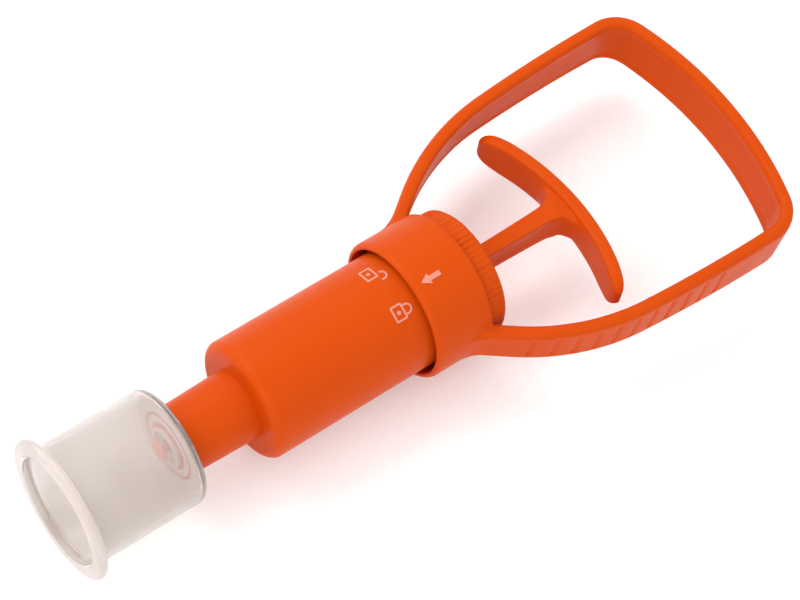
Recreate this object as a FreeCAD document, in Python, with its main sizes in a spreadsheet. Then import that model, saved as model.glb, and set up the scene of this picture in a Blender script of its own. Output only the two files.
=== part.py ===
"""A one-hand vacuum pump with a clear suction cup, as a parametric FreeCAD document in millimetres.

Frame: +X runs along the pump's axis from the cup's mouth to the handle, +Z stands square to the
handle loop's plane on the side of the lock marks, and the origin is the centre of the cup's mouth.
"""
import FreeCAD, Part

import math
import os

import Sketcher
from FreeCAD import Placement, Rotation, Vector

doc = FreeCAD.newDocument("suction_pump")

# ---------------------------------------------------------------- driving dimensions
DIMENSIONS = {
    # suction cup
    "cup_length": 47.2,
    "cup_radius": 22.3,
    "cup_wall": 1.7,
    "cup_end_wall": 2.0,
    "cup_shoulder": 3.4,
    "lip_radius": 26.85,
    "lip_thickness": 3.4,
    "lip_blend": 2.6,
    "neck_radius": 9.0,
    "neck_bore": 6.0,
    "neck_length": 11.3,
    "vent_radius": 3.2,
    "boss_radius": 7.8,
    "boss_bore": 6.2,
    "boss_height": 1.6,
    # nozzle
    "nozzle_gap": 0.4,
    "nozzle_radius_front": 12.8,
    "nozzle_radius_rear": 13.5,
    "socket_radius": 9.7,
    "socket_depth": 14.4,
    "seal_groove_radius": 10.9,
    "seal_groove_start": 3.6,
    "seal_groove_width": 2.6,
    "nozzle_bore": 6.0,
    "nozzle_spigot": 9.0,
    "valve_hole_radius": 1.1,
    "valve_hole_circle": 3.6,
    "valve_plate": 2.0,
    # barrel
    "barrel_front": 75.0,
    "barrel_rear": 157.2,
    "barrel_radius": 23.0,
    "barrel_bore": 20.5,
    "barrel_floor": 3.0,
    "barrel_round": 3.3,
    "gasket_depth": 0.8,
    "gasket_radius": 12.2,
    "lug_radius": 24.6,
    "lug_start": 148.5,
    "lug_width": 4.0,
    "lug_half_angle": 12.0,
    # locking collar
    "collar_front": 141.9,
    "collar_rear": 166.5,
    "collar_radius": 27.3,
    "collar_bore": 25.0,
    "collar_round": 2.0,
    "collar_land": 23.08,
    "thread_radius": 24.0,
    "front_land_start": 145.4,
    "front_land_end": 147.7,
    "rear_land_start": 153.5,
    "print_height": 0.15,
    "closed_mark_angle": 21.7,
    "open_mark_angle": -24.5,
    "arrow_angle": 10.7,
    # handle loop
    "loop_centre_end": 299.6,
    "loop_half_width": 52.9,
    "loop_thickness": 5.4,
    "loop_depth": 17.0,
    "loop_edge_round": 1.9,
    "loop_bow_radius": 138.0,
    "loop_corner_radius": 13.5,
    "arm_bend_radius": 95.0,
    "arm_bend_end": 220.0,
    "arm_root_angle": 36.0,
    "arm_root_length": 15.2,
    "gusset_radius": 22.0,
    "crease_depth": 0.35,
    "crease_margin": 2.4,
    "groove_radius": 1.4,
    "groove_pitch": 7.75,
    "groove_first": 175.8,
    # end cap
    "cap_rear": 175.0,
    "cap_radius": 25.07,
    "cap_chamfer": 1.2,
    "cap_wall": 3.0,
    "cap_spigot": 23.96,
    "cap_front": 158.8,
    "spring_pocket": 16.2,
    "rib_groove_width": 1.45,
    "rib_groove_depth": 0.6,
    "guide_radius": 9.0,
    "guide_flange": 11.5,
    # plunger
    "rod_front": 92.9,
    "rod_width": 5.4,
    "rod_height": 11.0,
    "rod_web": 4.0,
    "rod_flange": 2.6,
    "rod_root_width": 7.0,
    "rod_root_height": 12.4,
    "rod_foot_width": 9.0,
    "rod_foot_length": 15.0,
    "plunger_turn": -5.0,
    "tee_centre": 224.0,
    "tee_radius": 92.0,
    "tee_width": 5.3,
    "tee_height": 16.0,
    "tee_half_span": 41.5,
    "tee_round": 1.2,
    "tee_end_round": 5.5,
    "flare_radius": 8.0,
    "piston_front": 82.0,
    "piston_length": 10.0,
    "piston_radius": 20.43,
    "piston_groove": 17.4,
    "piston_groove_start": 3.2,
    "piston_groove_width": 3.6,
    "screw_radius": 2.0,
    "screw_head_radius": 4.1,
    "screw_head_height": 2.3,
    "screw_length": 19.0,
    # return spring
    "spring_radius": 13.6,
    "spring_wire": 0.7,
    "spring_turns": 11,
    "spring_seat_thickness": 1.2,
    # fits
    "slide_clearance": 0.06,
    "rest_clearance": 0.02,
}

GROOVES_PER_ARM = 11
CAP_RIBS = 70

sheet = doc.addObject("Spreadsheet::Sheet", "Sizes")
for row, (alias, number) in enumerate(DIMENSIONS.items(), start=1):
    sheet.set("A%d" % row, alias)
    sheet.set("B%d" % row, str(number))
    sheet.setAlias("B%d" % row, alias)
doc.recompute()


class Size:
    """A length together with the sheet expression that gives it."""

    def __init__(self, value, text):
        self.value = float(value)
        self.text = text

    def __add__(self, other):
        other = as_size(other)
        return Size(self.value + other.value, "(%s + %s)" % (self.text, other.text))

    def __sub__(self, other):
        other = as_size(other)
        return Size(self.value - other.value, "(%s - %s)" % (self.text, other.text))

    def __mul__(self, factor):
        return Size(self.value * factor, "%s * %.9g" % (self.text, factor))

    def __neg__(self):
        return self * -1.0


def as_size(number):
    if isinstance(number, Size):
        return number
    return Size(number, "%.9g" % number)


def size(alias):
    return Size(DIMENSIONS[alias], "Sizes.%s" % alias)


# ---------------------------------------------------------------- shared building steps
NODES = []
ROOT_POINT = (-1, 1)


def keep(thing, label):
    """Names a finished sub-part, so that it is written out."""
    thing.Label = label
    NODES.append(thing)
    return thing


def place(thing, forward, turn=0.0):
    """Moves a sub-part along the pump's axis and turns it about that axis."""
    thing.Placement = Placement(Vector(forward.value, 0, 0), Rotation(Vector(1, 0, 0), turn))
    thing.setExpression("Placement.Base.x", forward.text)


def new_body(name):
    body = doc.addObject("PartDesign::Body", name)
    return keep(body, name)


def origin_feature(body, role):
    return next(part for part in body.Origin.OriginFeatures if part.Role == role)


def sketch_on(body, name, role):
    sketch = body.newObject("Sketcher::SketchObject", name)
    sketch.AttachmentSupport = [(origin_feature(body, role), "")]
    sketch.MapMode = "FlatFace"
    return sketch


def pin_point(sketch, edge, end, point):
    """Ties one end of an edge to its two coordinates."""
    for kind, number in zip(("DistanceX", "DistanceY"), point):
        number = as_size(number)
        index = sketch.addConstraint(
            Sketcher.Constraint(kind, *ROOT_POINT, edge, end, number.value))
        sketch.setExpression("Constraints[%d]" % index, number.text)


def point_values(point):
    return Vector(as_size(point[0]).value, as_size(point[1]).value, 0)


def draw_lines(sketch, points):
    """A closed outline of straight edges, every corner bound to the sheet."""
    corners = [point_values(point) for point in points]
    first = sketch.GeometryCount
    for here, there in zip(corners, corners[1:] + corners[:1]):
        sketch.addGeometry(Part.LineSegment(here, there), False)
    for number in range(len(corners)):
        edge = first + number
        following = first + (number + 1) % len(corners)
        sketch.addConstraint(Sketcher.Constraint("Coincident", edge, 2, following, 1))
        pin_point(sketch, edge, 1, points[number])


def draw_circle(sketch, centre, radius):
    edge = sketch.addGeometry(Part.Circle(point_values(centre), Vector(0, 0, 1), radius.value), False)
    index = sketch.addConstraint(Sketcher.Constraint("Radius", edge, radius.value))
    sketch.setExpression("Constraints[%d]" % index, radius.text)
    pin_point(sketch, edge, 3, centre)


def draw_arc(sketch, centre, radius, start, end):
    """An arc from the start angle round to the end angle, in degrees."""
    circle = Part.Circle(centre, Vector(0, 0, 1), radius)
    arc = Part.ArcOfCircle(circle, math.radians(start), math.radians(end))
    return sketch.addGeometry(arc, False)


def revolve(body, name, points):
    """A ring or disc turned about the pump's axis from points of (distance along, radius)."""
    sketch = sketch_on(body, name + "_profile", "XY_Plane")
    draw_lines(sketch, points)
    feature = body.newObject("PartDesign::Revolution", name)
    feature.Profile = sketch
    feature.ReferenceAxis = (origin_feature(body, "X_Axis"), [""])
    feature.Angle = 360.0
    doc.recompute()
    return feature


def groove_round(body, name, points):
    """A turned cut about the pump's axis."""
    before = body.Shape.Volume
    sketch = sketch_on(body, name + "_profile", "XY_Plane")
    draw_lines(sketch, points)
    feature = body.newObject("PartDesign::Groove", name)
    feature.Profile = sketch
    feature.ReferenceAxis = (origin_feature(body, "X_Axis"), [""])
    feature.Angle = 360.0
    doc.recompute()
    must_cut(body, before, name)
    return feature


def must_cut(body, before, name):
    if body.Shape.Volume >= before - 1e-3:
        raise RuntimeError("%s removed nothing" % name)


def circle_edges(body, wanted):
    """Names of the full-circle edges about the axis at (distance along, radius)."""
    names = []
    for number, edge in enumerate(body.Shape.Edges, start=1):
        if not isinstance(edge.Curve, Part.Circle):
            continue
        for along, radius in wanted:
            same_place = abs(edge.Curve.Center.x - as_size(along).value) < 1e-4
            same_size = abs(edge.Curve.Radius - as_size(radius).value) < 1e-4
            if same_place and same_size:
                names.append("Edge%d" % number)
    if not names:
        raise RuntimeError("no edge to dress in %s" % body.Name)
    return names


def dress(body, kind, name, edges, amount):
    """A fillet or a chamfer on named edges of the body's tip."""
    base = body.Tip
    feature = body.newObject("PartDesign::" + kind, name)
    feature.Base = (base, edges)
    amount = as_size(amount)
    property_name = "Radius" if kind == "Fillet" else "Size"
    setattr(feature, property_name, amount.value)
    feature.setExpression(property_name, amount.text)
    doc.recompute()
    return feature


def pad(body, name, sketch, length, both_ways=False):
    feature = body.newObject("PartDesign::Pad", name)
    feature.Profile = sketch
    feature.Length = length.value
    feature.setExpression("Length", length.text)
    feature.Midplane = both_ways
    doc.recompute()
    return feature


def pocket(body, name, sketch, length, both_ways=False, backwards=False):
    before = body.Shape.Volume
    feature = body.newObject("PartDesign::Pocket", name)
    feature.Profile = sketch
    feature.Length = length.value
    feature.setExpression("Length", length.text)
    feature.Midplane = both_ways
    feature.Reversed = backwards
    doc.recompute()
    must_cut(body, before, name)
    return feature


def repeat_round(body, name, feature, count):
    pattern = body.newObject("PartDesign::PolarPattern", name)
    pattern.Originals = [feature]
    pattern.Axis = (origin_feature(body, "X_Axis"), [""])
    pattern.Angle = 360.0
    pattern.Occurrences = count
    body.Tip = pattern
    doc.recompute()
    return pattern


def ring(name, forward, length, inner, outer):
    """A plain turned ring, or a disc where the inner radius is zero."""
    body = new_body(name)
    zero = as_size(0)
    revolve(body, name + "_ring", [(zero, inner), (length, inner), (length, outer), (zero, outer)])
    place(body, forward)
    return body


def torus(name, forward, centre_radius, wire_radius):
    """A moulded round ring lying about the pump's axis."""
    thing = doc.addObject("Part::Torus", name)
    for property_name, number in (("Radius1", centre_radius), ("Radius2", wire_radius)):
        setattr(thing, property_name, number.value)
        thing.setExpression(property_name, number.text)
    thing.Placement = Placement(Vector(forward.value, 0, 0), Rotation(Vector(0, 1, 0), 90))
    thing.setExpression("Placement.Base.x", forward.text)
    return keep(thing, name)


# ---------------------------------------------------------------- suction cup and its valve
def make_suction_cup():
    length = size("cup_length")
    outer = size("cup_radius")
    inner = outer - size("cup_wall")
    lip = size("lip_radius")
    edge = size("lip_thickness")
    floor = length - size("cup_end_wall")
    neck_end = length + size("neck_length")
    body = new_body("suction_cup")
    revolve(body, "cup_shell", [
        (0, inner),
        (0, lip),
        (edge, lip),
        (edge, outer),
        (length, outer),
        (length, size("neck_radius")),
        (neck_end, size("neck_radius")),
        (neck_end, size("neck_bore")),
        (length, size("neck_bore")),
        (length, size("vent_radius")),
        (floor, size("vent_radius")),
        (floor, size("boss_bore")),
        (floor - size("boss_height"), size("boss_bore")),
        (floor - size("boss_height"), size("boss_radius")),
        (floor, size("boss_radius")),
        (floor, inner),
    ])
    dress(body, "Fillet", "cup_shoulder", circle_edges(body, [(length, outer)]), size("cup_shoulder"))
    inside = size("cup_shoulder") - size("cup_wall")
    dress(body, "Fillet", "cup_inner_corner", circle_edges(body, [(floor, inner)]), inside)
    dress(body, "Fillet", "lip_neck", circle_edges(body, [(edge, outer)]), size("lip_blend"))
    rim = circle_edges(body, [(0, lip), (edge, lip)])
    dress(body, "Fillet", "lip_rim", rim, edge * 0.46)
    dress(body, "Fillet", "mouth_edge", circle_edges(body, [(0, inner)]), 0.6)
    place(body, as_size(0))


def make_cup_valve():
    """The release pin that lifts off the vent, with its soft sealing disc on the pump side."""
    wall_end = size("cup_length")
    inner_flange_front = wall_end - size("cup_end_wall") - 4.2
    stem = new_body("valve_pin")
    reach = as_size(16.5)
    pin = 1.5
    revolve(stem, "pin_turned", [
        (0, 0),
        (0, 3.9),
        (1.2, 3.9),
        (1.8, pin),
        (reach, pin),
        (reach, 0),
    ])
    place(stem, inner_flange_front)
    ring("valve_disc", wall_end + 0.05, as_size(1.3), as_size(pin + 0.02), as_size(5.0))
    ring("valve_collar", wall_end + 1.4, as_size(1.6), as_size(pin + 0.02), as_size(2.9))


# ---------------------------------------------------------------- nozzle and its soft parts
def nozzle_front():
    return size("cup_length") + size("nozzle_gap")


def make_nozzle():
    front = nozzle_front()
    shoulder = size("barrel_front") - front
    rear = shoulder + size("barrel_floor")
    socket_end = size("socket_depth")
    groove = size("seal_groove_start")
    groove_end = groove + size("seal_groove_width")
    body = new_body("nozzle")
    revolve(body, "nozzle_turned", [
        (0, size("socket_radius")),
        (0, size("nozzle_radius_front")),
        (shoulder, size("nozzle_radius_rear")),
        (shoulder, size("nozzle_spigot")),
        (rear, size("nozzle_spigot")),
        (rear, 1.3),
        (rear - size("valve_plate"), 1.3),
        (rear - size("valve_plate"), size("nozzle_bore")),
        (socket_end, size("nozzle_bore")),
        (socket_end, size("socket_radius")),
        (groove_end, size("socket_radius")),
        (groove_end, size("seal_groove_radius")),
        (groove, size("seal_groove_radius")),
        (groove, size("socket_radius")),
    ])
    mouth = circle_edges(body, [(0, size("nozzle_radius_front"))])
    dress(body, "Fillet", "nozzle_mouth_edge", mouth, 0.8)
    sketch = sketch_on(body, "air_hole_place", "YZ_Plane")
    draw_circle(sketch, (size("valve_hole_circle"), 0), size("valve_hole_radius"))
    hole = pocket(body, "air_hole", sketch, rear + 1.0, backwards=True)
    repeat_round(body, "air_holes", hole, 6)
    place(body, front)


def make_nozzle_soft_parts():
    centre = nozzle_front() + size("seal_groove_start") + size("seal_groove_width") * 0.5
    wire = (size("seal_groove_radius") - size("neck_radius")) * 0.5 - size("rest_clearance") * 1.5
    middle = (size("seal_groove_radius") + size("neck_radius")) * 0.5 + size("rest_clearance") * 0.5
    torus("nozzle_seal", centre, middle, wire)
    ring("nozzle_gasket", size("barrel_front"), size("gasket_depth"),
         size("nozzle_spigot") + 0.05, size("gasket_radius") - 0.05)
    seat = size("barrel_front") + size("barrel_floor")
    valve = new_body("inlet_valve")
    stem = 1.25
    bulb = 1.75
    under = size("valve_plate")
    revolve(valve, "inlet_valve_turned", [
        (-under - 1.6, 0),
        (-under - 1.2, bulb),
        (-under - 0.02, bulb),
        (-under - 0.02, stem),
        (0.02, stem),
        (0.02, 5.6),
        (0.5, 5.6),
        (1.3, 2.4),
        (1.3, 0),
    ])
    place(valve, seat)


# ---------------------------------------------------------------- barrel
def make_barrel():
    front = size("barrel_front")
    length = size("barrel_rear") - front
    body = new_body("barrel")
    revolve(body, "barrel_turned", [
        (0, size("gasket_radius")),
        (0, size("barrel_radius")),
        (length, size("barrel_radius")),
        (length, size("barrel_bore")),
        (size("barrel_floor"), size("barrel_bore")),
        (size("barrel_floor"), size("nozzle_spigot") + 0.03),
        (size("gasket_depth"), size("nozzle_spigot") + 0.03),
        (size("gasket_depth"), size("gasket_radius")),
    ])
    edge = circle_edges(body, [(0, size("barrel_radius"))])
    dress(body, "Fillet", "barrel_front_round", edge, size("barrel_round"))
    rear = circle_edges(body, [(length, size("barrel_radius"))])
    dress(body, "Chamfer", "barrel_rear_lead", rear, 0.6)
    sketch = sketch_on(body, "lug_profile", "XY_Plane")
    start = size("lug_start") - front
    end = start + size("lug_width")
    low = size("barrel_radius") - 0.5
    draw_lines(sketch, [(start, low), (end, low), (end, size("lug_radius")), (start, size("lug_radius"))])
    lug = body.newObject("PartDesign::Revolution", "lug")
    lug.Profile = sketch
    lug.ReferenceAxis = (origin_feature(body, "X_Axis"), [""])
    lug.Angle = 2 * DIMENSIONS["lug_half_angle"]
    lug.setExpression("Angle", "2 * Sizes.lug_half_angle")
    lug.Midplane = True
    doc.recompute()
    repeat_round(body, "lugs", lug, 2)
    place(body, front)


# ---------------------------------------------------------------- printed marks
def curved_mark(name, outline_wires, centre_x, centre_angle, radius):
    """A thin printed mark wrapped on a round wall of the given radius.

    The outline lies flat, x along the pump and y round it, and is pushed out square to the wall.
    The angle runs from +Z towards -Y."""
    height = DIMENSIONS["print_height"]
    blocks = []
    for outer, *holes in outline_wires:
        face = Part.Face(outer)
        for hole in holes:
            face = face.cut(Part.Face(hole))
        blocks.append(face.extrude(Vector(0, 0, radius)))
    reach = 40.0
    sleeve_start = Vector(-reach / 2, 0, 0)
    shell = Part.makeCylinder(radius + height, reach, sleeve_start, Vector(1, 0, 0))
    shell = shell.cut(Part.makeCylinder(radius, reach, sleeve_start, Vector(1, 0, 0)))
    pieces = []
    for block in blocks:
        block.translate(Vector(0, 0, radius * 0.4))
        pieces.append(block.common(shell))
    shape = pieces[0]
    for piece in pieces[1:]:
        shape = shape.fuse(piece)
    thing = doc.addObject("Part::Feature", name)
    thing.Shape = shape.removeSplitter()
    thing.Placement = Placement(Vector(centre_x, 0, 0), Rotation(Vector(1, 0, 0), centre_angle))
    return keep(thing, name)


def rounded_box_wire(low, high, radius):
    """A closed wire of a rectangle with round corners, in the flat."""
    (x0, y0), (x1, y1) = low, high
    corners = [(x1 - radius, y1 - radius, 0), (x0 + radius, y1 - radius, 90),
               (x0 + radius, y0 + radius, 180), (x1 - radius, y0 + radius, 270)]
    edges = []
    last = None
    for cx, cy, angle in corners:
        circle = Part.Circle(Vector(cx, cy, 0), Vector(0, 0, 1), radius)
        arc = Part.ArcOfCircle(circle, math.radians(angle), math.radians(angle + 90))
        if last is not None:
            edges.append(Part.LineSegment(last, arc.StartPoint).toShape())
        edges.append(arc.toShape())
        last = arc.EndPoint
    edges.append(Part.LineSegment(last, edges[0].Vertexes[0].Point).toShape())
    return Part.Wire(edges)


def polygon_wire(points):
    corners = [Vector(x, y, 0) for x, y in points]
    return Part.makePolygon(corners + corners[:1])


def shackle_wire(inner, outer, legs, side_shift, open_leg):
    """A padlock's bow: a half ring on two legs, one of them short when the lock is open."""
    short = 0.0 if open_leg else legs
    top = legs
    outer_arc = Part.Arc(Vector(top, side_shift - outer, 0), Vector(top + outer, side_shift, 0),
                         Vector(top, side_shift + outer, 0))
    inner_arc = Part.Arc(Vector(top, side_shift + inner, 0), Vector(top + inner, side_shift, 0),
                         Vector(top, side_shift - inner, 0))
    near_foot = top - legs
    far_foot = top - short
    path = [
        Part.LineSegment(Vector(near_foot, side_shift - outer, 0),
                         Vector(top, side_shift - outer, 0)).toShape(),
        outer_arc.toShape(),
    ]
    if far_foot < top:
        path.append(Part.LineSegment(Vector(top, side_shift + outer, 0),
                                     Vector(far_foot, side_shift + outer, 0)).toShape())
    path.append(Part.LineSegment(Vector(far_foot, side_shift + outer, 0),
                                 Vector(far_foot, side_shift + inner, 0)).toShape())
    if far_foot < top:
        path.append(Part.LineSegment(Vector(far_foot, side_shift + inner, 0),
                                     Vector(top, side_shift + inner, 0)).toShape())
    path.append(inner_arc.toShape())
    path.append(Part.LineSegment(Vector(top, side_shift - inner, 0),
                                 Vector(near_foot, side_shift - inner, 0)).toShape())
    path.append(Part.LineSegment(Vector(near_foot, side_shift - inner, 0),
                                 Vector(near_foot, side_shift - outer, 0)).toShape())
    return Part.Wire(path)


def make_lock_mark(name, angle, is_open):
    """A padlock outline with a keyhole dot, its bow towards the handle."""
    half_depth = 2.45
    half_width = 3.1
    line = 0.75
    centre_x = 134.4
    outside = rounded_box_wire((-half_depth, -half_width), (half_depth, half_width), 0.7)
    inside = rounded_box_wire((-half_depth + line, -half_width + line),
                              (half_depth - line, half_width - line), 0.3)
    dot = Part.Wire([Part.Circle(Vector(0, 0, 0), Vector(0, 0, 1), 0.8).toShape()])
    shift = -half_width * 1.05 if is_open else 0.0
    bow = shackle_wire(1.35, 2.1, 1.0, shift, is_open)
    bow.translate(Vector(half_depth - 0.05, 0, 0))
    curved_mark(name, [[outside, inside], [dot], [bow]], centre_x, angle, DIMENSIONS["barrel_radius"])


def make_arrow_mark():
    """The arrow on the collar that points at the lock marks."""
    tip, barb, tail = -4.2, -0.4, 4.2
    wide, narrow = 2.1, 0.95
    outline = polygon_wire([(tip, 0), (barb, -wide), (barb, -narrow), (tail, -narrow),
                            (tail, narrow), (barb, narrow), (barb, wide)])
    curved_mark("arrow_mark", [[outline]], 149.8, DIMENSIONS["arrow_angle"],
                DIMENSIONS["collar_radius"])


# ---------------------------------------------------------------- grip: collar with handle loop
def loop_path():
    """Centre line of one half of the loop as arcs and a line, from the end bar to the collar.

    Each item is (kind, data): an arc has its centre, radius, start and end angle."""
    bow = DIMENSIONS["loop_bow_radius"]
    corner = DIMENSIONS["loop_corner_radius"]
    half = DIMENSIONS["loop_half_width"]
    bend = DIMENSIONS["arm_bend_radius"]
    root = DIMENSIONS["arm_root_angle"]
    bow_x = DIMENSIONS["loop_centre_end"] - bow
    corner_y = half - corner
    corner_x = bow_x + math.sqrt((bow - corner) ** 2 - corner_y ** 2)
    meet = math.degrees(math.atan2(corner_y, corner_x - bow_x))
    bend_end_x = DIMENSIONS["arm_bend_end"]
    run = corner_x - bend_end_x
    # the long arm arc leaves the corner level and falls to the tight bend with a small slope
    slope = 4.8
    long_radius = run / math.sin(math.radians(slope))
    bend_end_y = half - long_radius * (1 - math.cos(math.radians(slope)))
    bend_centre = Vector(bend_end_x + bend * math.sin(math.radians(slope)),
                         bend_end_y - bend * math.cos(math.radians(slope)), 0)
    foot = bend_centre + Vector(-math.sin(math.radians(root)), math.cos(math.radians(root)), 0) * bend
    back = Vector(-math.cos(math.radians(root)), -math.sin(math.radians(root)), 0)
    return [
        ("arc", Vector(bow_x, 0, 0), bow, 0.0, meet),
        ("arc", Vector(corner_x, corner_y, 0), corner, meet, 90.0),
        ("arc", Vector(corner_x, half - long_radius, 0), long_radius, 90.0, 90.0 + slope),
        ("arc", bend_centre, bend, 90.0 + slope, 90.0 + root),
        ("line", foot, foot + back * DIMENSIONS["arm_root_length"]),
    ]


def outer_side_point(along):
    """The point on the arm's outer face at a distance along the pump, and nothing else."""
    offset = DIMENSIONS["loop_thickness"] / 2
    for kind, centre, radius, start, end in [item for item in loop_path() if item[0] == "arc"][2:]:
        reach = radius + offset
        height = math.sqrt(reach ** 2 - (along - centre.x) ** 2)
        angle = math.degrees(math.atan2(height, along - centre.x))
        if start <= angle <= end:
            return Vector(along, centre.y + height, 0)
    raise RuntimeError("the arm has no outer face at %s" % along)


def draw_loop_section(sketch):
    """The band's section: round edges, and a shallow crease along its inner face."""
    half = DIMENSIONS["loop_thickness"] / 2
    tall = DIMENSIONS["loop_depth"] / 2
    bend = DIMENSIONS["loop_edge_round"]
    step = DIMENSIONS["crease_depth"]
    margin = tall - DIMENSIONS["crease_margin"]
    middle = DIMENSIONS["loop_centre_end"]
    left, right = middle - half, middle + half
    corners = [
        (right - bend, tall - bend, 0), (left + bend, tall - bend, 90),
        (left + bend, -tall + bend, 180), (right - bend, -tall + bend, 270),
    ]
    arcs = [draw_arc(sketch, Vector(x, y, 0), bend, angle, angle + 90) for x, y, angle in corners]

    def join(points, first_edge, last_edge):
        edges = []
        for here, there in zip(points, points[1:]):
            edges.append(sketch.addGeometry(Part.LineSegment(here, there), False))
        sketch.addConstraint(Sketcher.Constraint("Coincident", first_edge, 2, edges[0], 1))
        for here, there in zip(edges, edges[1:]):
            sketch.addConstraint(Sketcher.Constraint("Coincident", here, 2, there, 1))
        sketch.addConstraint(Sketcher.Constraint("Coincident", edges[-1], 2, last_edge, 1))

    join([Vector(right - bend, tall, 0), Vector(left + bend, tall, 0)], arcs[0], arcs[1])
    join([Vector(left, tall - bend, 0), Vector(left, margin, 0), Vector(left + step, margin - step, 0),
          Vector(left + step, -margin + step, 0), Vector(left, -margin, 0),
          Vector(left, -tall + bend, 0)], arcs[1], arcs[2])
    join([Vector(left + bend, -tall, 0), Vector(right - bend, -tall, 0)], arcs[2], arcs[3])
    join([Vector(right, -tall + bend, 0), Vector(right, tall - bend, 0)], arcs[3], arcs[0])
    for arc in arcs:
        index = sketch.addConstraint(Sketcher.Constraint("Radius", arc, bend))
        sketch.setExpression("Constraints[%d]" % index, "Sizes.loop_edge_round")


def make_grip_frame():
    body = new_body("grip_frame")
    spine = sketch_on(body, "loop_centre_line", "XY_Plane")
    last_edge = None
    for item in loop_path():
        if item[0] == "arc":
            kind, centre, radius, start, end = item
            edge = draw_arc(spine, centre, radius, start, end)
            joint = (edge, 1)
            leaving = (edge, 2)
        else:
            edge = spine.addGeometry(Part.LineSegment(item[1], item[2]), False)
            joint = (edge, 1)
            leaving = (edge, 2)
        if last_edge is not None:
            spine.addConstraint(Sketcher.Constraint("Coincident", *last_edge, *joint))
        last_edge = leaving
    section = sketch_on(body, "loop_section", "XZ_Plane")
    draw_loop_section(section)
    doc.recompute()
    band = body.newObject("PartDesign::AdditivePipe", "loop_half")
    band.Profile = section
    band.Spine = (spine, ["Edge%d" % number for number in range(1, len(loop_path()) + 1)])
    doc.recompute()
    mirror = body.newObject("PartDesign::Mirrored", "loop_other_half")
    mirror.Originals = [band]
    mirror.MirrorPlane = (origin_feature(body, "XZ_Plane"), [""])
    body.Tip = mirror
    doc.recompute()
    add_arm_gussets(body)
    front = size("collar_front")
    rear = size("collar_rear")
    outer = size("collar_radius")
    core = as_size(12.0)
    revolve(body, "collar_block", [(front, core), (rear, core), (rear, outer), (front, outer)])
    groove_round(body, "collar_inside", [
        (front - 5, core - 2),
        (rear + 12, core - 2),
        (rear + 12, size("thread_radius")),
        (size("barrel_rear"), size("thread_radius")),
        (size("barrel_rear"), size("collar_land")),
        (size("rear_land_start"), size("collar_land")),
        (size("rear_land_start"), size("collar_bore")),
        (size("front_land_end"), size("collar_bore")),
        (size("front_land_end"), size("collar_land")),
        (size("front_land_start"), size("collar_land")),
        (size("front_land_start"), size("collar_bore")),
        (front - 5, size("collar_bore")),
    ])
    edge = circle_edges(body, [(front, outer)])
    dress(body, "Fillet", "collar_front_round", edge, size("collar_round"))
    edge = circle_edges(body, [(front, size("collar_bore"))])
    dress(body, "Fillet", "collar_mouth_edge", edge, 0.5)
    cut_entry_slots(body)
    cut_arm_grooves(body)
    place(body, as_size(0))


def add_arm_gussets(body):
    """Webs on the outer side of both arm roots, curving down to the collar."""
    sketch = sketch_on(body, "gusset_outline", "XY_Plane")
    flat = DIMENSIONS["loop_depth"] / 2 - DIMENSIONS["loop_edge_round"]
    angle = math.radians(DIMENSIONS["arm_root_angle"])
    along = Vector(math.cos(angle), math.sin(angle), 0)
    outward = Vector(-math.sin(angle), math.cos(angle), 0)
    # the collar's surface where the web's two flat sides leave it
    base = math.sqrt(DIMENSIONS["collar_radius"] ** 2 - flat ** 2)
    on_face = loop_path()[-1][1] + outward * (DIMENSIONS["loop_thickness"] / 2)
    corner = on_face + along * ((base - on_face.y) / along.y)
    bend = DIMENSIONS["gusset_radius"]
    run = bend * math.tan(angle / 2)
    start = corner - Vector(run, 0, 0)
    end = corner + along * run
    inside = end - outward * 2.0
    foot = corner - Vector(0, 1.0, 0)
    back = start - Vector(0, 1.0, 0)
    for side in (1, -1):
        centre = Vector(start.x, side * (start.y + bend), 0)
        turn = math.degrees(angle)
        if side > 0:
            bow = draw_arc(sketch, centre, bend, -90.0, -90.0 + turn)
        else:
            bow = draw_arc(sketch, centre, bend, 90.0 - turn, 90.0)
        points = [Vector(point.x, side * point.y, 0) for point in (end, inside, foot, back, start)]
        lines = [sketch.addGeometry(Part.LineSegment(here, there), False)
                 for here, there in zip(points, points[1:])]
        first, last = (2, 1) if side > 0 else (1, 2)
        sketch.addConstraint(Sketcher.Constraint("Coincident", bow, first, lines[0], 1))
        for here, there in zip(lines, lines[1:]):
            sketch.addConstraint(Sketcher.Constraint("Coincident", here, 2, there, 1))
        sketch.addConstraint(Sketcher.Constraint("Coincident", lines[-1], 2, bow, last))
    pad(body, "arm_gussets", sketch, as_size(flat * 2), both_ways=True)


def cut_entry_slots(body):
    """Two slots in the front land, where the barrel's lugs pass when the grip is turned open."""
    before = body.Shape.Volume
    sketch = sketch_on(body, "entry_slot_profile", "XY_Plane")
    low = size("collar_land") - 0.5
    high = size("collar_bore")
    start = size("front_land_start") - 0.2
    end = size("front_land_end") + 0.2
    draw_lines(sketch, [(start, low), (end, low), (end, high), (start, high)])
    slot = body.newObject("PartDesign::Groove", "entry_slot")
    slot.Profile = sketch
    slot.ReferenceAxis = (origin_feature(body, "X_Axis"), [""])
    slot.Angle = 49.0
    slot.Reversed = False
    doc.recompute()
    must_cut(body, before, "entry_slot")
    repeat_round(body, "entry_slots", slot, 2)


def cut_arm_grooves(body):
    """Finger grooves across the outer face of both arms, parallel to the loop's depth."""
    sketch = sketch_on(body, "arm_groove_places", "XY_Plane")
    radius = size("groove_radius")
    lift = radius.value * 0.5
    for number in range(GROOVES_PER_ARM):
        point = outer_side_point(DIMENSIONS["groove_first"] + number * DIMENSIONS["groove_pitch"])
        for side in (1, -1):
            draw_circle(sketch, (point.x, side * (point.y + lift)), radius)
    pocket(body, "arm_grooves", sketch, size("loop_depth") * 0.72, both_ways=True)


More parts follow.
